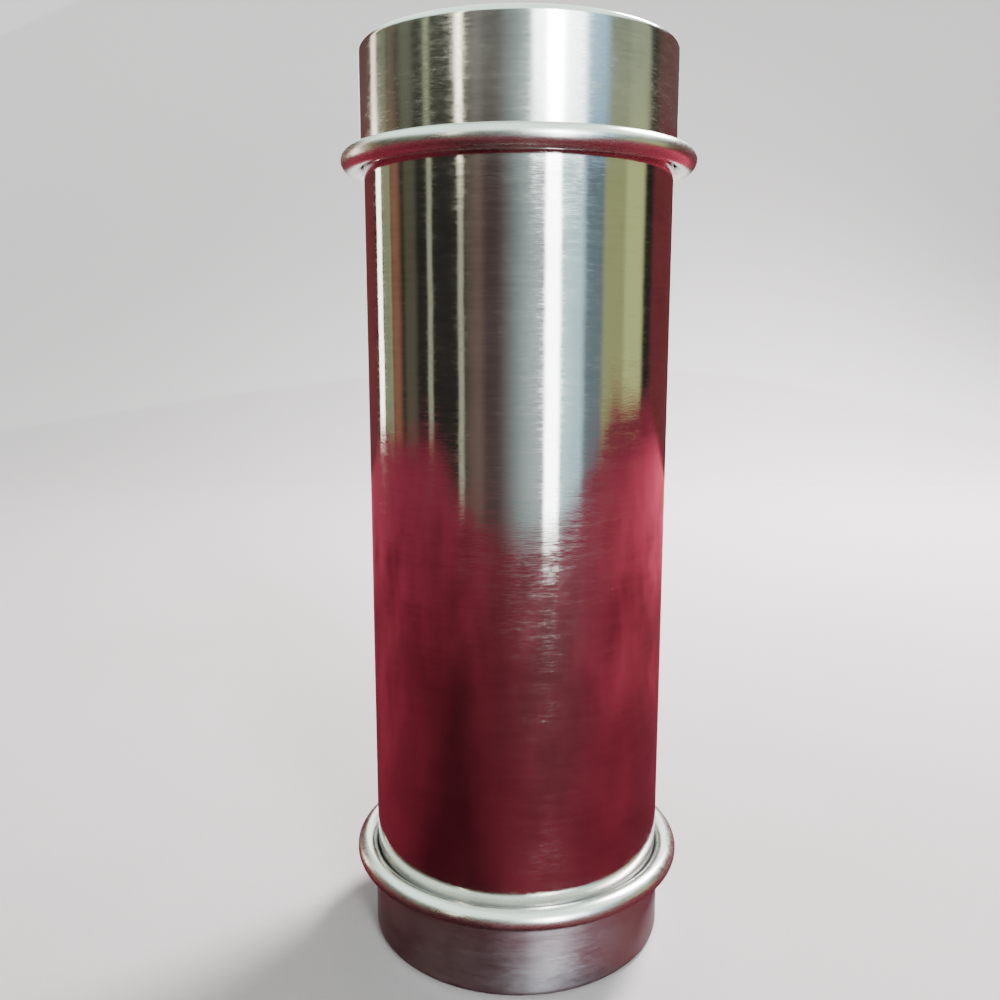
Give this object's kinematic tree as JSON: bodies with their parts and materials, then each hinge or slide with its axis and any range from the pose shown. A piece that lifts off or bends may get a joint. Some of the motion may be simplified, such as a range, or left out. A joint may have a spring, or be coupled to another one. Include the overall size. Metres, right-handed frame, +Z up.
{
  "type": "hidden-lock puzzle cylinder",
  "caption": "Straight polished metal tube with a rolled-rim slip cap on each end; a hidden spin-to-open pin lock frees the upper cap, which draws out a message vial.",
  "frame": {"origin": "centre of the bottom cap's flat underside, which the cylinder stands on", "axes": "+Z up along the tube's axis, from the bottom cap to the top cap; +X to the right and -Y to the front"},
  "size_m": [0.0572, 0.0572, 0.1497],
  "materials": {
    "polished_steel": "polished, with a faint brushing that runs around the tube",
    "lock_brass": "turned",
    "pin_steel": "ground",
    "dark_screw": "black oxide",
    "nylon": "natural nylon, satin",
    "black_rubber": "matte",
    "vial_glass": "clear, faint green tint",
    "walnut": "oiled",
    "parchment": "matte, fibrous",
    "red_ribbon": "woven",
    "green_felt": "pressed felt"
  },
  "bodies": {
    "tube": {"outer_tube": "polished_steel", "lock_ring": "lock_brass", "ring_screw_1": "dark_screw", "ring_screw_2": "dark_screw", "vial_guide": "nylon", "bottom_plug": "lock_brass", "plug_screw_1": "dark_screw", "plug_screw_2": "dark_screw", "floor_felt": "green_felt"},
    "core": {"lock_plug": "lock_brass", "plug_o_ring": "black_rubber", "message_vial": "vial_glass", "scroll": "parchment", "scroll_band": "red_ribbon"},
    "upper_cap": {"top_cap": "polished_steel", "top_cap_stud": "pin_steel", "top_cap_washer": "nylon", "top_cap_nut": "pin_steel"},
    "lower_cap": {"bottom_cap": "polished_steel", "bottom_cap_stud": "pin_steel", "bottom_cap_washer": "nylon", "bottom_cap_nut": "pin_steel"},
    "stopper": {"vial_stopper": "walnut"},
    "pin_1": {"lock_pin_1": "pin_steel"},
    "pin_2": {"lock_pin_2": "pin_steel"},
    "pin_3": {"lock_pin_3": "pin_steel"},
    "pin_4": {"lock_pin_4": "pin_steel"}
  },
  "joints": [
    {"name": "core_slide", "type": "slide", "parent": "tube", "child": "core", "axis": [0, 0, 1], "range_m": [0, 0.13]},
    {"name": "top_cap_spin", "type": "hinge", "parent": "core", "child": "upper_cap", "pos_m": [0, 0, 0.14], "axis": [0, 0, 1], "continuous": true},
    {"name": "bottom_cap_spin", "type": "hinge", "parent": "tube", "child": "lower_cap", "pos_m": [0, 0, 0.005], "axis": [0, 0, 1], "continuous": true},
    {"name": "stopper_pull", "type": "slide", "parent": "core", "child": "stopper", "axis": [0, 0, -1], "range_m": [0, 0.0075]},
    {"name": "lock_pin_1_slide", "type": "slide", "parent": "tube", "child": "pin_1", "axis": [-0.9848, 0, -0.1736], "range_m": [0, 0.0026]},
    {"name": "lock_pin_2_slide", "type": "slide", "parent": "tube", "child": "pin_2", "axis": [0, -0.9848, -0.1736], "range_m": [0, 0.0026]},
    {"name": "lock_pin_3_slide", "type": "slide", "parent": "tube", "child": "pin_3", "axis": [0.9848, 0, -0.1736], "range_m": [0, 0.0026]},
    {"name": "lock_pin_4_slide", "type": "slide", "parent": "tube", "child": "pin_4", "axis": [0, 0.9848, -0.1736], "range_m": [0, 0.0026]}
  ]
}
